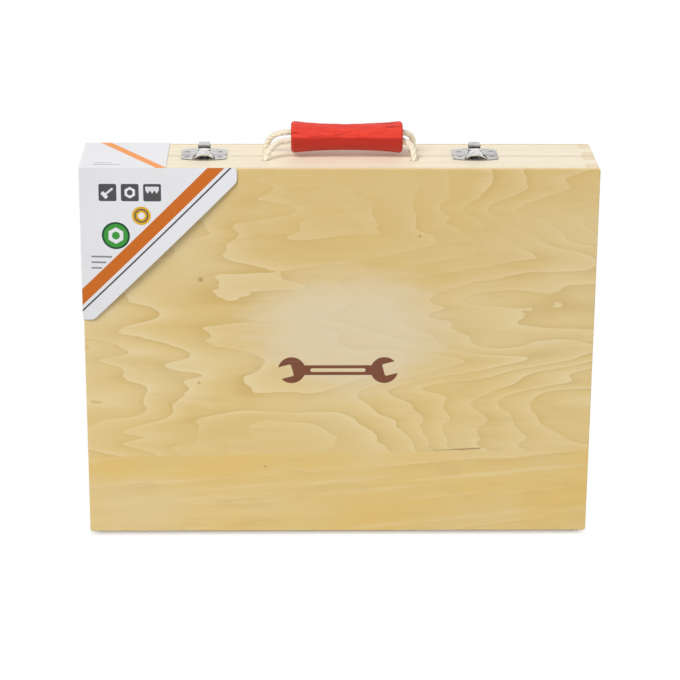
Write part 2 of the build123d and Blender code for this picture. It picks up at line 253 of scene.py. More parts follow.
def spline_points(name, route):
    """The points of a smooth spline through a route in millimetres above the case's top."""
    curve = bpy.data.curves.new(name, "CURVE")
    curve.dimensions = "3D"
    curve.resolution_u = 32
    spline = curve.splines.new("NURBS")
    spline.points.add(len(route) - 1)
    for point, (x, y, height) in zip(spline.points, route):
        point.co = (x * MM, y * MM, case_top + height * MM, 1)
    spline.order_u = 3
    spline.use_endpoint_u = True
    holder = bpy.data.objects.new(name, curve)
    line = bpy.data.meshes.new_from_object(holder)
    points = [vertex.co.copy() for vertex in line.vertices]
    bpy.data.objects.remove(holder)
    bpy.data.meshes.remove(line)
    return points


def even(points, gap):
    """The same line with its points a fixed gap apart."""
    spaced, carry = [points[0]], 0.0
    for start, end in zip(points, points[1:]):
        span = (end - start).length
        along = gap - carry
        while along <= span:
            spaced.append(start.lerp(end, along / span))
            along += gap
        carry = span - (along - gap)
    return spaced


front_line = even(spline_points("front_rope_route", front_route), rope_step)
back_line = even(spline_points("back_rope_route", back_route), rope_step)
print("ropes are", *[round(len(line) * rope_step, 4) for line in (front_line, back_line)], "m long")

# %% [markdown]
# A tube needs a cross direction at each point. Carrying one direction along the line, and only turning it as much
# as the line turns, keeps the tube free of twists of its own. The lay of the rope is then added on purpose: each
# strand's centre runs round the line once in eleven millimetres. Texture coordinates run along and around a strand.

# %% Tubes and strands
def carried(points):
    """Two cross directions at each point of a line, carried along without twist."""
    frames, cross = [], None
    for index, point in enumerate(points):
        before, after = points[max(index - 1, 0)], points[min(index + 1, len(points) - 1)]
        along = (after - before).normalized()
        cross = (cross or along.orthogonal()) - along * along.dot(cross or along.orthogonal())
        cross.normalize()
        frames.append((point, cross.copy(), along.cross(cross)))
    return frames


def tube(points, radius, sides, closed=False):
    """Corners, faces and texture coordinates of a round tube along points."""
    frames = carried(points)
    corners, faces, layer = [], [], []
    for centre, cross, other in frames:
        for side in range(sides):
            turn = math.tau * side / sides
            corners.append(centre + (cross * math.cos(turn) + other * math.sin(turn)) * radius)
    step = (points[1] - points[0]).length / (2 * math.pi * radius)
    rings = len(points) if closed else len(points) - 1
    for ring in range(rings):
        for side in range(sides):
            near, far = ring * sides, (ring + 1) % len(points) * sides
            faces.append((near + side, near + (side + 1) % sides, far + (side + 1) % sides, far + side))
            around, beside = side / sides, (side + 1) / sides
            layer += [(ring * step, around), (ring * step, beside), ((ring + 1) * step, beside),
                      ((ring + 1) * step, around)]
    if not closed:
        for ring in (tuple(reversed(range(sides))), tuple(range(rings * sides, (rings + 1) * sides))):
            faces.append(ring)
            layer += [(0.0, 0.0)] * sides
    return corners, faces, layer


def piece(name, tubes, smooth=True):
    """One object from several tubes or shells."""
    corners, faces, layer = [], [], []
    for more_corners, more_faces, more_layer in tubes:
        faces += [tuple(index + len(corners) for index in face) for face in more_faces]
        corners += more_corners
        layer += more_layer
    mesh = bpy.data.meshes.new(name)
    mesh.from_pydata(corners, [], faces)
    if layer:
        mesh.uv_layers.new(name="along_and_around")
        for loop, place in zip(mesh.uv_layers[0].data, layer):
            loop.uv = place
    mesh.polygons.foreach_set("use_smooth", [smooth] * len(mesh.polygons))
    made = bpy.data.objects.new(name, mesh)
    scene.collection.objects.link(made)
    return made


strands_in_rope = 3
strand_radius = 1.30 * MM
strand_offset = 0.85 * MM
strand_lay = 11 * MM
strand_sides = 10


def laid_rope(name, line):
    strands = []
    for strand in range(strands_in_rope):
        centres = []
        for index, (centre, cross, other) in enumerate(carried(line)):
            turn = math.tau * (strand / strands_in_rope + index * rope_step / strand_lay)
            offset = cross * math.cos(turn) + other * math.sin(turn)
            centres.append(centre + offset * strand_offset)
        strands.append(tube(centres, strand_radius, strand_sides))
    return piece(name, strands)


front_rope_lay = laid_rope("front_rope_lay", front_line)
back_rope_lay = laid_rope("back_rope_lay", back_line)
print("each rope has", len(front_rope_lay.data.polygons), "faces in", strands_in_rope, "strands")

# %% [markdown]
# Each rope end is stopped by an overhand knot, which draws up to a small ball. A trefoil is the closed form of
# that knot, so one tube along a trefoil, drawn tight, gives the crossing strands that a plain ball would lack.

# %% Knots
knot_height = 239.2 * MM
knot_reach = 3.1 * MM
knot_rise = 2.3 * MM
knot_radius = 0.95 * rope_radius
knot_steps, knot_sides = 96, 12


def overhand_knot(name, x, y):
    points = []
    for step in range(knot_steps):
        turn = math.tau * step / knot_steps
        reach = knot_reach * (2 + math.cos(3 * turn)) / 3
        points.append(Vector((
            x * MM + reach * math.cos(2 * turn),
            y * MM + reach * math.sin(2 * turn),
            knot_height + knot_rise * math.sin(3 * turn),
        )))
    return piece(name, [tube(points, knot_radius, knot_sides, closed=True)])


knots = {}
for rope, y in (("front", -hole_y), ("back", hole_y)):
    knots[rope] = [
        overhand_knot(rope + "_left_knot", -hole_x, y),
        overhand_knot(rope + "_right_knot", hole_x, y),
    ]
for rope, lay, line in (("front", front_rope_lay, front_line), ("back", back_rope_lay, back_line)):
    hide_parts(rope + "_rope")
    for strand_piece in [lay] + knots[rope]:
        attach(strand_piece, rope + "_handle")
print("knots at", knot_height, "m, inside the case")

# %% [markdown]
# Bleached cotton is off-white and quite matt. Its yarns run at an angle around each strand, so the texture
# coordinates along and around the strand are added before a saw is cut from them. The dips between yarns are
# painted a little darker, as painted shade, and a soft cloud makes some lengths greyer than others.

# %% Cotton finish
cotton = Finish("cotton_rope")
along, around, _ = cotton.split(cotton.node("ShaderNodeTexCoord", output="UV"))
yarn = abs((around * 5 + along * 1.4).part() - 0.5) * 2
fuzz = cotton.cloud(cotton.place(), 2600, 3, 0.7)
worn = cotton.cloud(cotton.place(), 60, 3)
# painted shade: the dips between yarns are mixed towards the darker colour
colour = cotton.mix(yarn * 0.3 + fuzz * 0.25, paint(240, 232, 212), paint(216, 204, 176))
colour = cotton.mix(cotton.rise(worn, 0.45, 0.8) * 0.3, colour, paint(220, 208, 182))
cotton_rope = cotton.done(
    Base_Color=colour, Roughness=0.92, Sheen_Weight=0.25, Specular_IOR_Level=0.2,
    Normal=cotton.bump((1 - yarn) * 0.6 + fuzz * 0.5, 0.09 * MM),
)
for strand_piece in [front_rope_lay, back_rope_lay] + knots["front"] + knots["back"]:
    strand_piece.data.materials.append(cotton_rope)
print("cotton on", 2 + len(knots["front"]) + len(knots["back"]), "pieces")

# %% [markdown]
# Marks such as prints, cracks and specks are drawn in the shader, as distances to simple shapes: below zero is
# inside. A decal mesh could carry them too, but it would float and need its own edges. These four helpers give a
# disc, a slab with round corners, a turned pair of axes, and a soft-edged mask from any distance.

# %% Drawing by distance
mask_soft = 0.15 * MM
sharp_corner = 0.1 * MM


def disc(x, y, radius):
    return (x * x + y * y) ** 0.5 - radius


def slab(x, y, half_x, half_y, corner=sharp_corner):
    over_x = (abs(x) - (half_x - corner)) | 0.0
    over_y = (abs(y) - (half_y - corner)) | 0.0
    return (over_x * over_x + over_y * over_y) ** 0.5 - corner


def turned(x, y, degrees):
    c, s = math.cos(math.radians(degrees)), math.sin(math.radians(degrees))
    return x * c + y * s, y * c - x * s


def inside(distance, soft=mask_soft):
    return distance.tree.rise(distance, soft, -soft)


print("a mask is soft over", round(2 * mask_soft / MM, 2), "mm")

# %% [markdown]
# The panels are thin plywood. Its face is peeled from the log like paper from a roll, so the yearly rings meet the
# face in nested tongues. Contours of a free cloud would close into islands, which peeled wood seldom shows. So the
# count of years falls to both sides of the heart, and large and small lobes that change slowly with the grain are
# taken off it. Their creases, blunted a little, become the tips of the tongues. A saw cut from that count is a ring
# per tooth: its jump is the pale edge and its slope the fade.

# %% Veneer figure
year_width = 36 * MM
heart_place, heart_width = -30 * MM, 40 * MM
lobe_years, tip_years, drift_years, ragged_years = 15, 6, 2, 0.3
lobe_blunt, tip_blunt = 0.06, 0.07


def blunted(value, blunt):
    """The distance of a value from zero, with a round bottom in place of the sharp one."""
    return (value ** 2.0 + blunt ** 2) ** 0.5


def peeled_rings(wood, roll, x, ragged):
    """How far a place has got through its year: 0 at a ring's pale edge, 1 where the next begins."""
    lobes = blunted(wood.cloud(wood.scaled(roll, (2.4, 1, 12)), 1, 0, 0.4) - 0.5, lobe_blunt)
    tips = blunted(wood.cloud(wood.scaled(roll, (9, 1, 40)), 1, 1, 0.5) - 0.5, tip_blunt)
    drift = wood.cloud(wood.scaled(roll, (4, 1, 7)), 1, 1, 0.4)
    from_heart = blunted(x - heart_place, heart_width)
    years = 0 - from_heart / year_width - lobes * lobe_years - tips * tip_years - drift * drift_years
    return (years + ragged * ragged_years).part()


print("a ring is", round(year_width / MM), "mm wide far from the heart")

# %% [markdown]
# The front panel carries a pale oval of painted light, and its history: one crack by the seam, and a few dark specks.
# Its only print is a plain double-ended spanner in brown ink, which is thin where the fibres stand up.

# %% Marks on the panel
oval_x, oval_z, oval_half_x, oval_half_z = 6 * MM, 148 * MM, 76 * MM, 46 * MM
crack_middle, crack_height, crack_tilt = 77 * MM, 61.5 * MM, 2.5
crack_half, crack_width, crack_soft = 22 * MM, 0.4 * MM, 0.35 * MM
specks_mm = ((54, 217.6, 0.9), (-51.4, 49.3, 0.8), (-97, 111.8, 0.9), (-95, 186.8, 1.6))
print_middle, print_height = -1 * MM, 121 * MM
head_out, head_radius, head_tilt = 32 * MM, 9.5 * MM, 15


def marked(wood, colour, x, z, ragged, outer):
    # a pale oval of painted light on the outer face
    oval = disc((x - oval_x) / oval_half_x, (z - oval_z) / oval_half_z, 1) + ragged * 0.5
    colour = wood.mix(wood.rise(oval, 0.2, -0.5) * outer * 0.7, colour, paint(233, 218, 188))
    along, across = turned(x - crack_middle, z - crack_height, crack_tilt)
    crack = inside(slab(along, across + ragged * 1.5 * MM, crack_half, crack_width), crack_soft)
    opening = wood.rise(along, -24 * MM, 14 * MM)
    colour = wood.mix(crack * opening * outer * 0.8, colour, paint(112, 74, 40))
    for speck_x, speck_z, radius in specks_mm:
        speck = inside(disc(x - speck_x * MM, z - speck_z * MM, radius * MM), radius * 0.6 * MM)
        colour = wood.mix(speck * outer * 0.5, colour, paint(150, 104, 58))
    return colour


def spanner_print(x, z):
    """The spanner as a mask: a bar with a groove, two round heads and a jaw cut from each."""
    x, y = x - print_middle, z - print_height
    shape = inside(slab(x, y, 30 * MM, 3.6 * MM, 1 * MM))
    for end in (-1, 1):
        head_x, head_y = turned(x - end * head_out, y, head_tilt)
        shape = shape | inside(disc(head_x, head_y, head_radius))
        jaw = inside(slab(head_x - end * 7 * MM, head_y, 7.5 * MM, 4.4 * MM, 1.2 * MM))
        shape = shape & (1 - jaw)
    return shape & (1 - inside(slab(x, y, 19 * MM, 1.3 * MM, 1.2 * MM)))


print("one oval, one crack,", len(specks_mm), "specks and one print")

# %% [markdown]
# Now the whole finish. Below a seam one strip of straighter, slanting grain is joined on, warmer and with pale
# streaks. The tooth of the ring gives the first colour. Then come soft tints, each where some value rises: painted
# shade towards the top, painted light towards the bottom, blotches, fine fibres and a slow mottle. The cut edges show
# three plies.

# %% Plywood veneer
panel_outer = -front_face
panel_thickness = 3.0 * MM
seam_height, seam_slope, seam_soft = 59 * MM, 0.014, 0.3 * MM
grain_slant = 0.09
strip_years_per_metre = 26
roll_shift, roll_depth = 0.31, 0.7


def veneer(name, side, printed):
    wood = Finish(name)
    x, y, z = wood.split(wood.place())
    roll = wood.join(x + roll_shift * side, side * roll_depth, z)
    ragged = wood.cloud(wood.scaled(roll, (40, 1, 160)), 1, 2, 0.5) - 0.5
    slanted = z - x * grain_slant
    strip = wood.join(x, side * roll_depth, slanted)
    straight = wood.cloud(wood.scaled(strip, (2.6, 1, 34)), 1, 2, 0.5)
    lines = (straight * 4 + slanted * strip_years_per_metre + ragged * 0.15).part()

    seam = z - (seam_height + x * seam_slope + ragged * 1.2 * MM)
    below = wood.rise(seam, seam_soft, -seam_soft)
    tone = peeled_rings(wood, roll, x, ragged) * (1 - below) + lines * below
    clear = wood.rise(wood.cloud(wood.scaled(roll, (11, 1, 20)), 1, 2), 0.3, 0.68) * 0.8 + 0.2
    tone = (tone - 0.5) * clear + 0.5

    stops = [(0.0, paint(240, 220, 173)), (0.2, paint(236, 211, 154)), (0.45, paint(231, 203, 138)),
             (0.7, paint(227, 198, 131)), (1.0, paint(213, 180, 109))]
    colour = wood.ramp(tone, stops)
    warm = wood.rise(wood.cloud(wood.scaled(strip, (9, 1, 34)), 1, 2), 0.35, 0.65)
    colour = wood.mix(below * (warm * 0.5 + 0.3), colour, paint(234, 194, 102))
    streak = wood.rise(wood.cloud(wood.scaled(strip, (7, 1, 170)), 1, 2, 0.6), 0.54, 0.7)
    colour = wood.mix(below * streak * 0.45, colour, paint(242, 222, 172))

    blotch = wood.cloud(wood.scaled(roll, (28, 1, 110)), 1, 3, 0.6)
    fibre = wood.cloud(wood.scaled(roll, (18, 1, 1100)), 1, 3, 0.65)
    mottle = wood.cloud(wood.scaled(roll, (10, 1, 18)), 1, 2)
    # the first two tints are painted shade towards the top and painted light towards the bottom
    for value, low, high, amount, tint in (
        (z, 0.08, 0.25, 0.4, paint(214, 183, 126)),
        (z, 0.16, 0.04, 0.25, paint(244, 216, 156)),
        (blotch, 0.52, 0.75, 0.35, paint(216, 184, 116)),
        (fibre, 0.5, 0.8, 0.22, paint(215, 182, 112)),
        (fibre, 0.46, 0.2, 0.22, paint(240, 223, 176)),
        (mottle, 0.45, 0.75, 0.4, paint(234, 216, 170)),
        (mottle, 0.45, 0.2, 0.4, paint(222, 192, 119)),
    ):
        colour = wood.mix(wood.rise(value, low, high) * amount, colour, tint)

    _, facing_y, _ = wood.facing()
    outer = wood.rise(facing_y * side, 0.5, 0.7)
    if printed:
        colour = marked(wood, colour, x, z, ragged, outer)
    from_core = abs((abs(y) - (panel_outer - panel_thickness / 2)) / panel_thickness)
    plies = wood.mix(wood.rise(from_core, 0.16, 0.2), paint(212, 184, 132), paint(236, 219, 182))
    colour = wood.mix(wood.rise(abs(facing_y), 0.6, 0.4), colour, plies)
    if printed:
        ink = spanner_print(x, z) * outer * (0.96 - wood.rise(fibre, 0.62, 0.78) * 0.35)
        colour = wood.mix(ink, colour, paint(121, 66, 46))
    return wood.done(Base_Color=colour, Roughness=0.52 + fibre * 0.16, Specular_IOR_Level=0.35,
                     Normal=wood.bump(fibre * 0.6 + tone * 0.08, 0.05 * MM))


def dress(material, *nodes):
    """Give CAD nodes a finish in place of the plain one that they came with."""
    for node in nodes:
        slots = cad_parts[node].data.materials
        slots.clear()
        slots.append(material)


dress(veneer("front_veneer", -1, printed=True), "front_panel")
dress(veneer("back_veneer", 1, printed=False), "back_panel")
print("veneer on two panels")

# %% [markdown]
# The frames are pale softwood, planed and sanded. The grain runs along each rail, so the level rails and the
# upright ones take the same finish with another stretch. At the finger joints the ends of the uprights show in
# the top face, and cut ends drink more varnish, so a face that looks along the grain is darker and spotted. Along
# the edges where the two halves meet, painted shade draws the parting line.

# %% Rail wood
parting_shade = 1.5 * MM


def rail_wood(name, along):
    wood = Finish(name)
    place = wood.place()
    axis = "XYZ".index(along)
    stretch, fine = [70.0] * 3, [900.0] * 3
    stretch[axis], fine[axis] = 2.4, 9.0
    years = wood.cloud(wood.scaled(place, stretch), 1, 2, 0.5, 0.2)
    growth = abs((years * 5).part() - 0.5) * 2
    fibre = wood.cloud(wood.scaled(place, fine), 1, 3, 0.6)
    colour = wood.mix(growth ** 2.0 * 0.5, paint(244, 233, 210), paint(237, 222, 192))
    colour = wood.mix(wood.rise(fibre, 0.52, 0.8) * 0.4, colour, paint(218, 198, 160))
    facing = wood.facing()
    end = wood.rise(abs(facing[axis]), 0.5, 0.8)
    pores = wood.cloud(place, 1500, 2)
    end_colour = wood.mix(wood.rise(pores, 0.35, 0.55), paint(222, 200, 160), paint(240, 225, 197))
    colour = wood.mix(end, colour, end_colour)
    _, y, _ = wood.split(place)
    # painted shade along the parting line between the two halves
    parting_painted_shade = wood.rise(abs(y), parting_shade, parting_shade * 0.3) * wood.rise(abs(facing[1]), 0.8, 0.5)
    colour = wood.mix(parting_painted_shade * 0.6, colour, paint(178, 150, 98))
    return wood.done(Base_Color=colour, Roughness=0.55 + fibre * 0.15, Specular_IOR_Level=0.35,
                     Normal=wood.bump(fibre * 0.7 + growth * 0.3, 0.05 * MM))


level_wood = rail_wood("level_rail_wood", "X")
upright_wood = rail_wood("upright_rail_wood", "Z")
for half in ("front", "back"):
    dress(level_wood, half + "_top_rail", half + "_bottom_rail")
    dress(upright_wood, half + "_left_rail", half + "_right_rail")
print("softwood on eight rails")

# %% [markdown]
# Three metals: bright nickel on the latches and their screws, the darker spring steel under them, and zinc on the
# hinges. All are fully metallic, so their look is in the roughness. Nickel has faint rubbed patches, and painted
# shade darkens it in the corners. The levers are more polished, and their nickel is also painted lighter, as a
# painted highlight. Zinc is cloudy with small spangles, and rolled steel has fine lines along the strip.

# %% Metals
corner_shade_reach = 1.6 * MM


def nickel_plate(name, clean, dull, rough):
    metal = Finish(name)
    place = metal.place()
    rubbed = metal.cloud(place, 220, 3, 0.6)
    lines = metal.cloud(metal.scaled(place, (4000, 500, 500)), 1, 2)
    colour = metal.mix(metal.rise(rubbed, 0.4, 0.7), clean, dull)
    # painted shade: the nickel turns dark where the occlusion node finds corners and contact lines
    corner = metal.node("ShaderNodeAmbientOcclusion", {"samples": 8}, {"Distance": corner_shade_reach}, "AO")
    colour = metal.mix(metal.rise(corner, 0.92, 0.4), colour, paint(52, 50, 48))
    return metal.done(Base_Color=colour, Metallic=1.0, Roughness=rough + rubbed * rough * 1.6,
                      Normal=metal.bump(lines, 0.006 * MM))


def zinc_plate():
    metal = Finish("zinc_plate")
    place = metal.place()
    spangle = metal.node("ShaderNodeTexVoronoi", None, {"Vector": place, "Scale": 500.0}, "Distance")
    cloudy = metal.cloud(place, 130, 3)
    colour = metal.mix(cloudy, paint(176, 178, 180), paint(206, 207, 206))
    return metal.done(Base_Color=colour, Metallic=1.0, Roughness=0.28 + cloudy * 0.3,
                      Normal=metal.bump(spangle, 0.02 * MM))


def rolled_steel():
    metal = Finish("spring_steel")
    lines = metal.cloud(metal.scaled(metal.place(), (3500, 60, 60)), 1, 3, 0.6)
    colour = metal.mix(lines, paint(128, 128, 132), paint(168, 168, 170))
    return metal.done(Base_Color=colour, Metallic=1.0, Roughness=0.25 + lines * 0.2,
                      Normal=metal.bump(lines, 0.01 * MM))


sides = ("left", "right")
dress(nickel_plate("pressed_nickel", paint(206, 204, 202), paint(190, 187, 184), 0.12),
      "latch_base_screws", "latch_catch_screws",
      *[side + "_latch_" + kind for side in sides for kind in ("base", "pin", "catch")])
# the levers are smoother, and their lighter colour is a painted highlight
dress(nickel_plate("polished_nickel_with_painted_highlight", paint(232, 230, 228), paint(200, 198, 195), 0.06),
      *[side + "_latch_lever" for side in sides])
dress(zinc_plate(), "front_hinge_screws", "back_hinge_screws",
      *[side + "_hinge_" + kind for side in sides for kind in ("front_leaf", "back_leaf", "pin")])
dress(rolled_steel(), *[side + "_latch_spring" for side in sides])
print("metal on latches, hinges and screws")

# %% [markdown]
# A leaf spring lies folded under each lever. Its foot stays on the base plate and its tip follows the lever, so one
# body alone can't carry it. A copy of the solid takes its place. Two points on a leaning line are worked out below,
# where it would part between the case and the lever, but the copy is not bent.

# %% Latch springs
bend_from, bend_to = Vector((0, -3.5, 3.3)) * MM, Vector((0, -2.0, 5.3)) * MM
for side in sides:
    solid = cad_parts[side + "_latch_spring"]
    leaf = bpy.data.objects.new(side + "_spring_leaf", solid.data.copy())
    leaf.matrix_world = solid.matrix_world
    scene.collection.objects.link(leaf)
    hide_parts(side + "_latch_spring")
    spring_low, spring_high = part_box(side + "_latch_spring")
    on_top = Vector(((spring_low.x + spring_high.x) / 2, 0, case_top))
    tuple(on_top + bend_from)
    tuple(on_top + bend_to)
    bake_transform(leaf)
print("two springs of", len(leaf.data.vertices), "corners bend with their levers")

# %% [markdown]
# The grip is a length of turned wood, thinner at the waist, that has been roughened with a knife and painted red.
# A lathe shape alone looks like plastic. So the skin is lofted as rings of an open "C", which keeps the bore and
# the slot at the back where the second rope goes in, and each point moves a little in or out: a crease along the
# front, shallow flats below it, and wavy cuts with the grain above it. The noise is a fixed function of place.

# %% Carved grip
grip_low, grip_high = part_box("grip")
grip_axis = Vector((0, 1.0, 278.2)) * MM
grip_middle = (grip_low.x + grip_high.x) / 2
grip_half = (grip_high.x - grip_low.x) / 2
waist_radius, end_radius, bore_radius, end_round = 9.2 * MM, 11.25 * MM, 6.3 * MM, 3.0 * MM
slot_low, slot_high = 0.2 * MM, 5.0 * MM
crease, crease_reach = math.radians(167), math.radians(30)
ridge_height, flat_depth, cut_depth, smooth_share = 0.24, 0.14, 0.30, 0.18
grip_stations, grip_turns = 110, 120
sharp_below = 0.5


def carve(x, turn, swell):
    """How far the skin stands off the turned shape, in metres, at one place along and around the grip."""
    from_crease = turn - crease + 0.12 * noise.noise(Vector((x * 70, 0.0, 3.3)))
    ridge = ridge_height * max(0.0, 1 - abs(from_crease) / crease_reach)
    cuts = noise.noise(Vector((x * 55, turn * 4.2, 1.7))) + 0.6 * noise.noise(Vector((x * 150, turn * 9, 5.1)))
    above = 1 if from_crease < 0 else smooth_share
    flats = -flat_depth * abs(math.sin(turn * 3.5)) if from_crease > 0 else 0.0
    return (ridge + flats + above * cut_depth * cuts - cut_depth) * MM * swell


def open_turn(radius, share):
    """The angle at one share of the way round a ring, from the upper lip of the slot to the lower one."""
    start, stop = math.asin(slot_high / radius), math.tau + math.asin(slot_low / radius)
    return start + (stop - start) * share


def grip_rings():
    """Corners and faces of the grip: at each station one ring of skin and, the other way round, one of bore."""
    shares = [step / grip_turns for step in range(grip_turns + 1)]
    corners = []
    for station in range(grip_stations + 1):
        out = -math.cos(math.pi * station / grip_stations)
        x = grip_middle + grip_half * out
        fall = max(0.0, 1 - (grip_half - abs(x - grip_middle)) / end_round)
        base = waist_radius + (end_radius - waist_radius) * abs(out) ** 2.2
        base -= end_round * (1 - math.sqrt(max(0.0, 1 - fall * fall)))
        skin_turns = [open_turn(base, share) for share in shares]
        ring = [(turn, base + carve(x, turn, 1 - fall)) for turn in skin_turns]
        ring += [(open_turn(bore_radius, share), bore_radius) for share in reversed(shares)]
        corners += [Vector((x, grip_axis.y + r * math.cos(t), grip_axis.z + r * math.sin(t))) for t, r in ring]
    size = 2 * (grip_turns + 1)
    faces = []
    for station in range(grip_stations):
        near, far = station * size, (station + 1) * size
        faces += [(near + i, far + i, far + (i + 1) % size, near + (i + 1) % size) for i in range(size)]
    for ring, flip in ((0, False), (grip_stations * size, True)):
        for i in range(grip_turns):
            face = (ring + i, ring + i + 1, ring + size - 2 - i, ring + size - 1 - i)
            faces.append(face[::-1] if flip else face)
    return corners, faces, []


carved_grip = piece("carved_grip", [grip_rings()])
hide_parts("grip")
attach(carved_grip, "front_handle")
carved_mesh = bmesh.new()
carved_mesh.from_mesh(carved_grip.data)
bmesh.ops.recalc_face_normals(carved_mesh, faces=carved_mesh.faces)
carved_mesh.to_mesh(carved_grip.data)
carved_mesh.free()
for edge in carved_grip.data.edges:
    a, b = (carved_grip.data.vertices[i].normal for i in edge.vertices)
    edge.use_edge_sharp = a.dot(b) < sharp_below
print("grip", round(2 * grip_half, 4), "m long with", len(carved_grip.data.polygons), "faces")

# %% [markdown]
# The red is thin and a little glossy, so the grain still shows through it as fine streaks, and the deepest cuts are
# dark. The smooth underside is painted darker, as painted shade.

# %% Red paint
red = Finish("red_paint")
place = red.place()
x, y, z = red.split(place)
streaks = red.cloud(red.scaled(place, (45, 800, 800)), 1, 4, 0.65)
waves = red.cloud(red.scaled(place, (60, 330, 330)), 1, 3, 0.6, 0.6)
wander = red.cloud(red.scaled(place, (70, 90, 90)), 1, 2) - 0.5
height = z - grip_axis.z - (y - grip_axis.y) * math.tan(crease - math.pi) + wander * 1.6 * MM
# painted shade on the underside, below a wavy line under the front crease
underside_painted_shade = red.rise(height, 0.6 * MM, -1.4 * MM)
deepest = red.cloud(red.scaled(place, (75, 640, 640)), 1, 2, 0.5, 0.4)
nicks = red.rise(deepest, 0.6, 0.72) * (1 - underside_painted_shade)
colour = red.mix(red.rise(waves, 0.35, 0.65), paint(213, 53, 37), paint(226, 65, 47))
colour = red.mix(red.rise(streaks, 0.56, 0.75) * 0.4, colour, paint(180, 38, 30))
colour = red.mix(nicks * 0.7, colour, paint(150, 28, 22))
colour = red.mix(underside_painted_shade * 0.75, colour, paint(170, 32, 22))
red_paint = red.done(
    Base_Color=colour, Roughness=0.42 + streaks * 0.15, Specular_IOR_Level=0.35,
    Normal=red.bump(waves * 0.7 + streaks * 0.3 - nicks * 0.5, 0.3 * MM),
)
carved_grip.data.materials.append(red_paint)
print("red paint on the grip")

# %% [markdown]
# Small signs for the card, drawn from distances again. Each takes two coordinates from its own middle, one to the
# right and one down. A hexagon is where three slabs, turned by sixty degrees, overlap.

# %% Signs
def nut(u, v, reach):
    slabs = [abs(turned(u, v, angle)[0]) for angle in (0, 60, 120)]
    return (slabs[0] | slabs[1] | slabs[2]) - reach


def hammer_sign(u, v):
    along, across = turned(u, v, -40)
    handle = slab(along - 0.6 * MM, across, 3.9 * MM, 0.7 * MM)
    head = slab(along + 2.8 * MM, across, 1.3 * MM, 2.6 * MM, 0.5 * MM)
    return inside(handle) | inside(head)


def nut_sign(u, v, reach=3.5 * MM, bore=1.9 * MM):
    return inside(nut(u, v, reach)) & (1 - inside(disc(u, v, bore)))


def saw_sign(u, v):
    teeth = abs((u / (3 * MM)).part() - 0.5) * 4.4 * MM
    return inside(slab(u, v + 2.8 * MM - teeth * 0.5, 4.5 * MM, 1.3 * MM + teeth * 0.5))


print("signs: a hammer, a nut and a saw blade")

# %% [markdown]
# The sleeve is white board, folded over one corner and printed on its outside only. Places on it are in millimetres
# right and down from the corner: an orange stripe along the cut edge, a green disc with a hexagon nut, a gold
# washer, three dark tiles with a sign each, and grey rules.

# %% Printed card
card_low, card_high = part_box("corner_sleeve")
card_reach, card_drop = 115 * MM, 114 * MM
stripe_share, stripe_edge = 0.80, (0.052, 0.049)
rule_share, rule_edge = 0.885, (0.008, 0.006)
tile_half, tile_corner, tile_drop = 6 * MM, 1.2 * MM, 17 * MM
bar_half, bar_gap = 0.6 * MM, 4 * MM
ink_orange, ink_pale_orange = paint(205, 108, 30), paint(240, 152, 74)
ink_green, ink_dark_green = paint(64, 152, 62), paint(22, 70, 44)
ink_gold, ink_grey, board_white = paint(224, 172, 34), paint(80, 80, 82), paint(232, 232, 235)

card = Finish("printed_card")
place = card.place()
x, y, z = card.split(place)
face_x, face_y, face_z = card.facing()
on_front = card.rise(face_y, -0.5, -0.7)
on_top = card.rise(face_z, 0.5, 0.7)
right_of, below, back_of = x - card_low.x, card_high.z - z, y - card_low.y

share = right_of / card_reach + below / card_drop
stripe = card.rise(abs(share - stripe_share), *stripe_edge) & on_front
rule = card.rise(abs(share - rule_share), *rule_edge) & on_front
pulp = card.cloud(place, 900, 3, 0.6)
tone = card.cloud(place, 25, 2)
board = card.mix(card.rise(tone, 0.4, 0.8) * 0.3, board_white, paint(222, 222, 224))
colour = card.mix(stripe, board, ink_orange)
colour = card.mix(rule, colour, ink_grey)

u, v = right_of - 24 * MM, below - 47 * MM
colour = card.mix(inside(disc(u, v, 9.5 * MM)) & on_front, colour, ink_dark_green)
colour = card.mix(inside(disc(u, v, 8.2 * MM)) & on_front, colour, ink_green)
colour = card.mix(nut_sign(u, v, 5 * MM, 2.7 * MM) & on_front, colour, board_white)

u, v = right_of - 41.5 * MM, below - 33 * MM
colour = card.mix(inside(disc(u, v, 6.4 * MM)) & on_front, colour, ink_gold)
colour = card.mix(inside(abs(disc(u, v, 4.3 * MM)) - 0.5 * MM) & on_front, colour, ink_grey)
colour = card.mix(inside(disc(u, v, 2.3 * MM)) & on_front, colour, board_white)

for centre, sign in ((19, hammer_sign), (34, nut_sign), (49, saw_sign)):
    u, v = right_of - centre * MM, below - tile_drop
    colour = card.mix(inside(slab(u, v, tile_half, tile_half, tile_corner)) & on_front, colour, ink_grey)
    colour = card.mix(sign(u, v) & on_front, colour, board_white)

for row, (middle, half) in enumerate(((14, 7), (12, 5), (10.5, 3.5))):
    u, v = right_of - middle * MM, below - (62 * MM + row * bar_gap)
    colour = card.mix((inside(slab(u, v, half * MM, bar_half)) & on_front) * 0.8, colour, ink_grey)

flap_share = right_of / card_reach * 1.6 + back_of / card_drop
flap_stripe = card.rise(abs(flap_share - stripe_share), *stripe_edge) & on_top
colour = card.mix(flap_stripe, colour, ink_pale_orange)
for row, half in enumerate((9, 6)):
    u, v = right_of - (9 + half) * MM, back_of - (12 * MM + row * bar_gap)
    colour = card.mix((inside(slab(u, v, half * MM, bar_half)) & on_top) * 0.7, colour, ink_grey)

bare = 1 - (on_front | on_top | card.rise(face_x, -0.5, -0.7))
colour = card.mix(bare * 0.8, colour, card.mix(pulp, paint(206, 200, 188), paint(222, 217, 206)))
dress(card.done(Base_Color=colour, Roughness=0.42 + pulp * 0.15, Specular_IOR_Level=0.4,
                Normal=card.bump(pulp, 0.015 * MM)), "corner_sleeve")
print("print on a card of", round((card_high.x - card_low.x) / MM, 1), "by",
      round((card_high.z - card_low.z) / MM, 1), "mm")

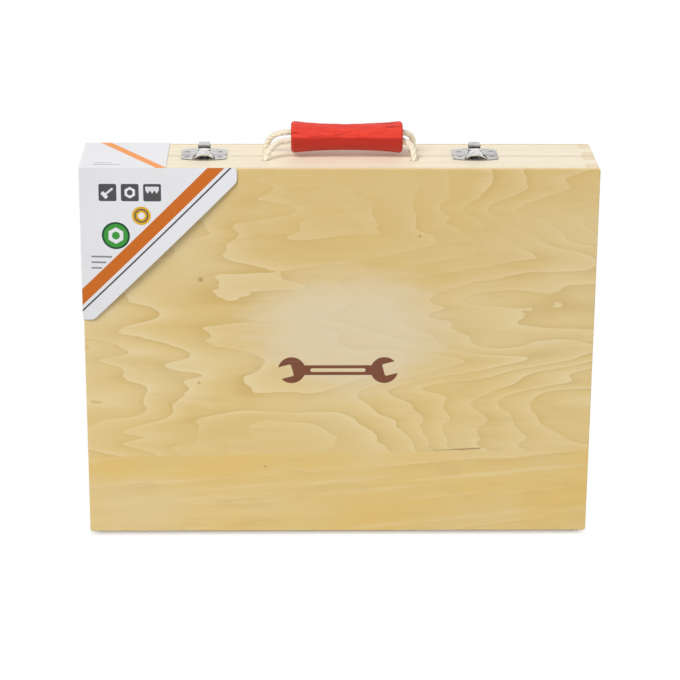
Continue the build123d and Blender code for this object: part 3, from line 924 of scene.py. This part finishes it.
# %% [markdown]
# The case stands on white paper that runs out of sight, so the sky is plain white to the camera and to shiny metal.
# A patch of floor lies under it for the shadow. How much of the open sky a point of the floor sees says how deep in
# the shadow it is: the patch is grey where the case stands over it and clears to nothing a short way off. Only the
# camera sees it, and only from above, so it hides neither the hinges below nor a lid that swings past it.

# %% Floor and sky
floor_margin, floor_drop = 40 * MM, 0.2 * MM
shadow_reach = 9 * MM
floor_half_x, floor_half_y = case_high.x + floor_margin, panel_outer + floor_margin
floor_mesh = bpy.data.meshes.new("white_floor")
quarters = ((-1, -1), (1, -1), (1, 1), (-1, 1))
corners = [(right * floor_half_x, back * floor_half_y, -floor_drop) for right, back in quarters]
floor_mesh.from_pydata(corners, [], [(0, 1, 2, 3)])
white_floor = bpy.data.objects.new("white_floor", floor_mesh)
scene.collection.objects.link(white_floor)
white_floor.visible_diffuse = white_floor.visible_glossy = white_floor.visible_shadow = False

paper = Finish("white_paper")
sky_share = paper.node("ShaderNodeAmbientOcclusion", {"samples": 16}, {"Distance": shadow_reach}, "AO")
fibres = paper.cloud(paper.place(), 300, 2)
stops = [(0.45, paint(184, 185, 190)), (0.7, paint(204, 205, 209)), (0.95, paint(246, 246, 248))]
shade = paper.ramp(sky_share, stops)
lit = paper.node("ShaderNodeBsdfDiffuse", None, {"Color": paper.mix(fibres * 0.06, shade, paint(255, 255, 255))})
clear = paper.node("ShaderNodeBsdfTransparent")
from_below = paper.node("ShaderNodeNewGeometry", output="Backfacing")
from_middle, _, _ = paper.split(paper.place())
beside = paper.rise(abs(from_middle), case_high.x - shadow_reach, case_high.x + shadow_reach * 0.3)
clearing = paper.rise(sky_share, 0.72, 0.99) | beside | from_below
floor_mesh.materials.append(paper.end(paper.node("ShaderNodeMixShader", None, {0: clearing, 1: lit, 2: clear})))

ambient = 0.38
scene.world = bpy.data.worlds.new("white_studio")
scene.world.use_nodes = True
sky = Tree(scene.world.node_tree)
white_to = ("Is Camera Ray", "Is Glossy Ray", "Is Transmission Ray")
seen, mirrored, through = (sky.node("ShaderNodeLightPath", output=ray) for ray in white_to)
strength = (seen | mirrored | through) * (1 - ambient) + ambient
light = sky.node("ShaderNodeBackground", None, {"Color": (1, 1, 1, 1), "Strength": strength})
sky.tree.links.new(light.socket, sky.tree.nodes.new("ShaderNodeOutputWorld").inputs[0])
print("floor", round(2 * floor_half_x, 3), "by", round(2 * floor_half_y, 3), "m, ambient light", ambient)

# %% [markdown]
# One large soft lamp stands high on the left. It reaches the top of the case better than the front, leaves the
# underside of the grip darker, and throws the card's shadow down and to the right. A weak lamp beside the camera
# opens the shadows, and two more light the back and the right side for whoever walks round. Their power, with the
# light of the sky, is set so that a colour comes out about as written. Reflections don't see the lamps, which would
# burn white spots into the plating.

# %% Lamps
lamp_target = Vector((0, 0, 0.14))


def soft_lamp(name, place, size, power):
    lamp = bpy.data.lights.new(name, "AREA")
    lamp.shape, lamp.size, lamp.energy = "SQUARE", size, power
    holder = bpy.data.objects.new(name, lamp)
    holder.location = place
    holder.rotation_euler = (lamp_target - Vector(place)).to_track_quat("-Z", "Y").to_euler()
    holder.visible_glossy = False
    scene.collection.objects.link(holder)


soft_lamp("key_lamp", (-1.10, -1.55, 2.36), 1.6, 61)
soft_lamp("front_lamp", (0.25, -2.60, 0.75), 1.0, 12.5)
soft_lamp("back_lamp", (0.60, 2.50, 0.55), 1.0, 34)
soft_lamp("right_lamp", (2.40, 0.50, 0.50), 1.0, 19)
print("four lamps, aimed", lamp_target.z, "m above the floor")

# %% [markdown]
# Shiny metal shows what is around it, and white would make it look like paper. So dark screens stand around the
# studio, with a gap behind the case, and a bright board hangs overhead. Only reflections see these.

# %% Boards
room_side, room_front, room_back, room_bottom = 1.3, -1.9, 1.6, -1.4
screen_gap = 0.26
front_left, front_right = (-room_side, room_front), (room_side, room_front)
back_left, back_right = (-room_side, room_back), (room_side, room_back)


def studio_board(name, corners, glow):
    """A board whose light is even but for a faint cloud."""
    mesh = bpy.data.meshes.new(name)
    mesh.from_pydata(corners, [], [(0, 1, 2, 3)])
    board = bpy.data.objects.new(name, mesh)
    scene.collection.objects.link(board)
    board.visible_camera = board.visible_diffuse = board.visible_shadow = board.visible_transmission = False
    felt = Finish(name)
    cloudy = felt.cloud(felt.place(), 2, 1)
    colour = felt.mix(cloudy, (glow, glow, glow, 1), (glow * 0.9, glow * 0.9, glow * 0.9, 1))
    mesh.materials.append(felt.end(felt.node("ShaderNodeEmission", None, {"Color": colour})))


def screen(name, start, end, top, glow):
    """An upright board between two places on the plan of the studio."""
    low, high = (room_bottom,), (top,)
    studio_board(name, [start + low, end + low, end + high, start + high], glow)


screen("front_screen", front_left, front_right, 0.33, 0.05)
screen("left_screen", front_left, back_left, 0.5, 0.2)
screen("right_screen", front_right, back_right, 0.5, 0.2)
screen("back_left_screen", back_left, (-screen_gap, room_back), 0.76, 0.05)
screen("back_right_screen", (screen_gap, room_back), back_right, 0.76, 0.05)
studio_board("bright_board", [(-0.5, -0.4, 1.6), (0.5, -0.4, 1.6), (0.5, 1.3, 1.6), (-0.5, 1.3, 1.6)], 1.15)
print("five screens and a bright board")
